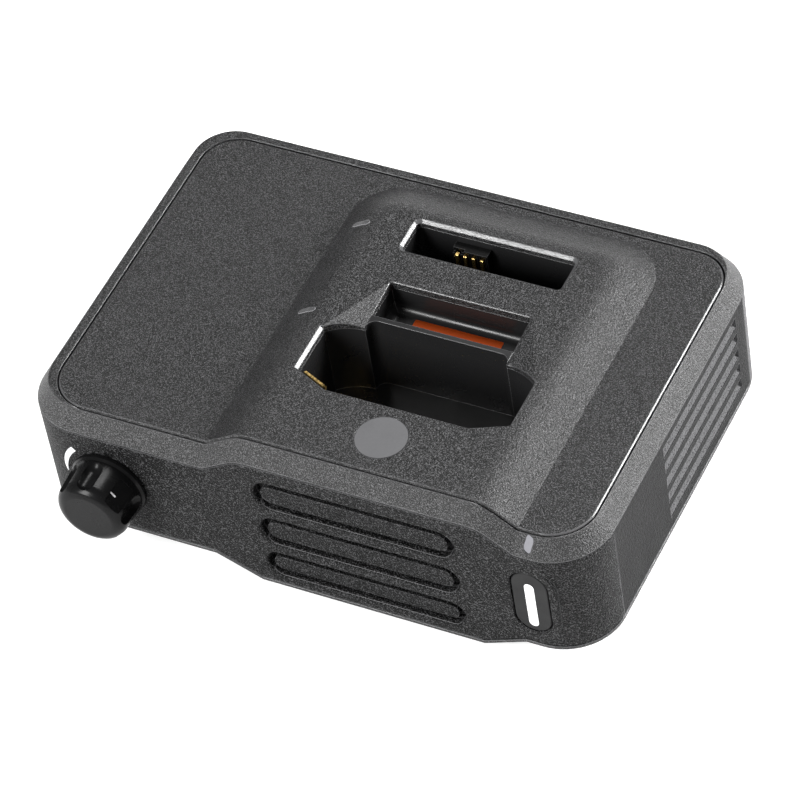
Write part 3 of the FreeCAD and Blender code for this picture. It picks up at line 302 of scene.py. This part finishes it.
# ---- metals and inner parts ---------------------------------------------------------------------
def metal(name, colour, rough, along="x", grain=0.0004):
    """Metal with drawn or brushed lines along an axis, and slight staining."""
    m = Mat(name, colour, rough, Metallic=1.0)
    lines = m.noise(grain, 2.0, m.stretched(along))
    m.rough(lines, rough * 0.7, rough * 1.4)
    m.tint(m.noise(0.003, 4.0), [c * 0.82 for c in colour], colour)
    m.bump(lines, 0.000012)
    return m


def woven(name, level, pitch):
    """Open cloth of crossed threads."""
    m = Mat(name, grey(level), 0.85, Sheen_Weight=0.2)
    weave = m.maths("MULTIPLY", m.bands(pitch, "X"), m.bands(pitch, "Z"))
    m.tint(weave, grey(level * 0.3), grey(level * 1.6))
    m.bump(weave, 0.0001)
    return m


def fibrous(name, level, size, depth, rough=0.9):
    """Foam, paper pulp, ferrite or soft rubber, by the size and depth of its texture."""
    m = Mat(name, grey(level), rough)
    pulp = m.noise(size, 5.0)
    m.tint(pulp, grey(level * 0.6), grey(level * 1.4))
    m.rough(m.noise(size * 6, 2.0), rough * 0.88, rough)
    m.bump(pulp, depth)
    return m


def circuit_board():
    """Green solder mask over copper tracks that run both ways."""
    m = Mat("solder_mask", (0.01, 0.10, 0.04), 0.35)
    tracks = m.maths("MAXIMUM", m.bands(0.0016, "X"), m.bands(0.0023, "Y"))
    shown = m.maths("MULTIPLY", m.span(tracks, 0.9, 0.94, 0.0, 1.0),
                    m.span(m.noise(0.012, 1.0), 0.48, 0.52, 0.0, 1.0))
    m.tint(shown, (0.008, 0.075, 0.03), (0.03, 0.19, 0.06))
    m.rough(m.noise(0.004, 2.0), 0.3, 0.42)
    m.bump(shown, 0.00004)
    return m


def winding():
    m = Mat("enamelled_copper", (0.72, 0.30, 0.12), 0.3, Metallic=1.0)
    turns = m.bands(0.0004, "Y")
    m.tint(turns, (0.35, 0.12, 0.04), (0.80, 0.38, 0.16))
    m.bump(turns, 0.00008)
    return m


def can():
    """Sleeved capacitor: dark blue with lighter bands where the sleeve is drawn in."""
    m = Mat("capacitor_sleeve", (0.02, 0.03, 0.07), 0.3)
    m.tint(m.span(m.bands(0.0055, "Z"), 0.9, 0.97, 0.0, 1.0), (0.015, 0.022, 0.05), (0.3, 0.31, 0.34))
    m.rough(m.noise(0.003, 3.0), 0.25, 0.4)
    m.bump(m.noise(0.0012, 2.0), 0.00002)
    return m


def dress():
    assign(moulded("case_plastic", 0.0080, 0.00034, (0.41, 0.47), 2.1), "upper_housing", "top_panel")
    assign(moulded("wall_plastic", 0.0075, 0.0004, (0.50, 0.54), 1.0, 0.115), "front_fascia",
           "grille_insert")
    assign(moulded("side_plastic", 0.0105, 0.0004, (0.50, 0.54), 0.9, 0.07, 0.0948),
           "rear_housing")
    assign(moulded("base_plastic", 0.012, 0.00045, (0.5, 0.6), 0.8), "base_cover")
    assign(glossy("pocket_gloss", 0.014, 0.28, 0.5), "radio_pocket", "battery_pocket")
    assign(glossy("contact_block_black", 0.003, 0.45, 0.15), "battery_contact_block",
           "radio_contact_block")
    assign(satin("knob_plastic", grey(0.006), 0.25, Specular_IOR_Level=0.11), "volume_knob")
    assign(satin("button_plastic", grey(0.009), 0.42, Specular_IOR_Level=0.18), "power_button")
    assign(satin("white_print", (0.80, 0.80, 0.81), 0.5), "volume_mark", "knob_pointer")
    assign(satin("light_bar", (0.90, 0.90, 0.92), 0.35, 0.0006), "power_button_light")
    assign(satin("badge_grey", (0.093, 0.093, 0.097), 0.42, 0.0002, 0.00001), "badge_disc")
    assign(satin("status_lens_grey", (0.15, 0.15, 0.17), 0.38), "status_lens")
    assign(glossy("lens_dark", 0.08, 0.22), "radio_charge_lens", "battery_charge_lens")
    assign(satin("orange_strip", (0.62, 0.085, 0.006), 0.5, 0.0005, Specular_IOR_Level=0.15),
           "trough_label")
    assign(satin("silver_label", (0.46, 0.47, 0.49), 0.36, 0.0003), "rating_label")
    assign(satin("moulded_black", grey(0.012), 0.45), "dc_inlet", "accessory_socket",
           "power_switch", "switch_plunger")
    assign(satin("led_epoxy", (0.75, 0.78, 0.62), 0.15), "indicator_leds")

    assign(metal("gold_plate", (1.0, 0.70, 0.26), 0.34, "y"), "battery_contact_leaves",
           "radio_contact_pins", "radio_side_contact", "dc_inlet_pin", "accessory_contacts")
    assign(metal("zinc_plate", (0.60, 0.60, 0.58), 0.34), "speaker_frame", "volume_washer",
           "volume_nut", "volume_potentiometer", "charger_shield")
    assign(metal("turned_steel", (0.56, 0.56, 0.57), 0.25, "y"), "volume_shaft")
    assign(metal("black_screw", (0.10, 0.10, 0.11), 0.36, "x", 0.0002), "case_screws",
           "wall_screws", "board_screws", "speaker_screws", "button_board_screws")
    assign(metal("extruded_aluminium", (0.72, 0.73, 0.74), 0.38, "y", 0.0003), "heat_sink")
    assign(winding(), "speaker_voice_coil")
    assign(can(), "smoothing_capacitors")
    assign(circuit_board(), "main_board", "button_board")

    assign(woven("acoustic_cloth", 0.010, 0.0007), "acoustic_cloth")
    assign(fibrous("gasket_foam", 0.02, 0.0006, 0.0002, 1.0), "speaker_gasket")
    assign(fibrous("surround_rubber", 0.015, 0.0004, 0.00003, 0.6), "speaker_surround")
    assign(fibrous("cone_paper", 0.03, 0.0009, 0.00008), "speaker_cone")
    assign(fibrous("ferrite", 0.04, 0.0005, 0.00004, 0.75), "speaker_magnet", "choke")
    assign(fibrous("foot_rubber", 0.022, 0.0005, 0.00004, 0.8), "foot_front_left",
           "foot_front_right", "foot_rear_left", "foot_rear_right")


make_camera()
make_studio()
dress()
